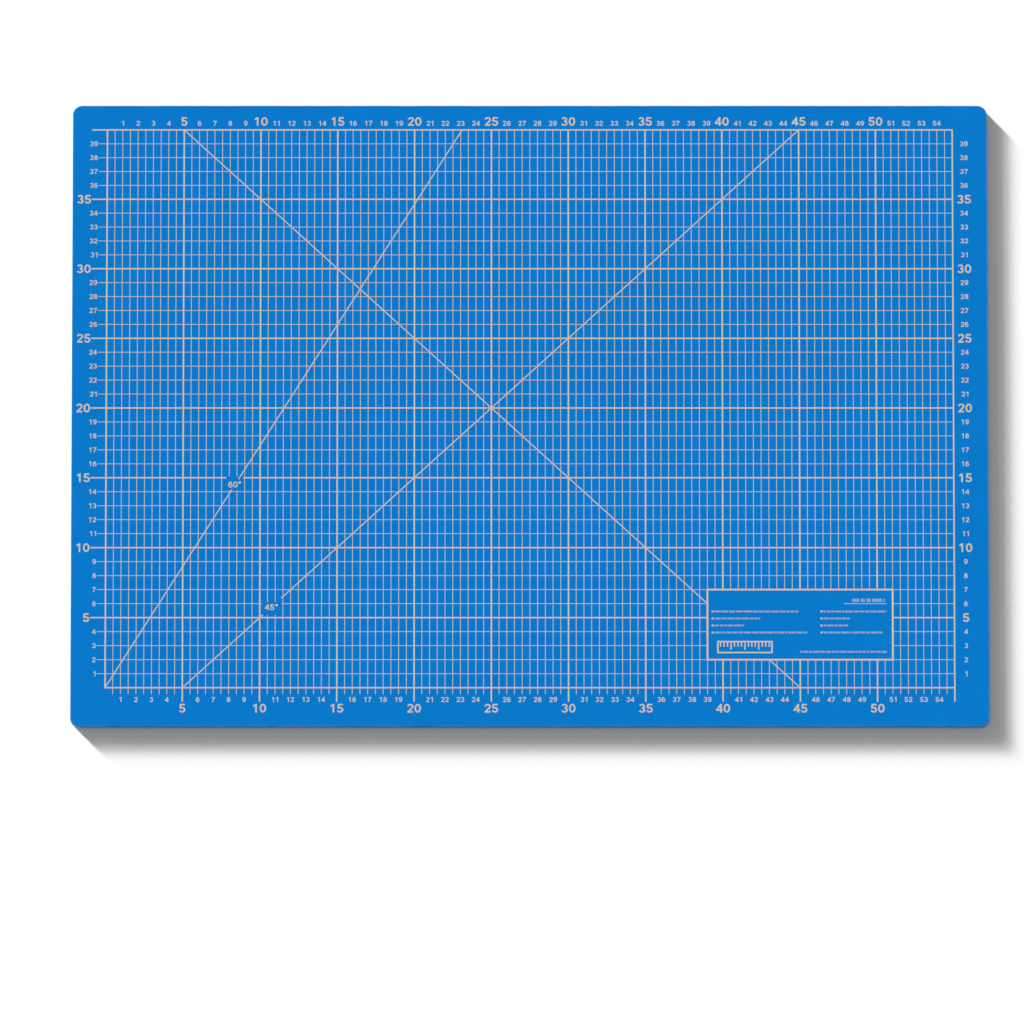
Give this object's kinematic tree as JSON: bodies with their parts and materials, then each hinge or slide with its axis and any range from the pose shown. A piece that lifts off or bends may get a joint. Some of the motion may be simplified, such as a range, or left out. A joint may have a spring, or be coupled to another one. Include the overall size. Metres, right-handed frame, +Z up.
{
  "type": "self healing mat",
  "caption": "Flat double-sided self-healing cutting mat: a bonded PVC laminate with rounded corners, mid-blue on one face and light blue on the other, with a metric grid on both.",
  "frame": {"origin": "centre of the underside, which is the light-blue face, level with the surface the mat lies on", "axes": "+X along the long side, towards the high end of the printed scale; +Y along the short side, towards the far edge; +Z up, out of the mid-blue face"},
  "size_m": [0.595, 0.445, 0.003],
  "materials": {
    "mid_blue_skin": "matte",
    "deep_blue_ply": "matte",
    "grey_core": "matte",
    "dusty_blue_ply": "matte",
    "light_blue_skin": "matte",
    "printing_ink": "satin"
  },
  "bodies": {
    "root": {"front_surface_sheet": "mid_blue_skin", "front_cushion_sheet": "deep_blue_ply", "rigid_core_sheet": "grey_core", "back_cushion_sheet": "dusty_blue_ply", "back_surface_sheet": "light_blue_skin"}
  },
  "joints": []
}
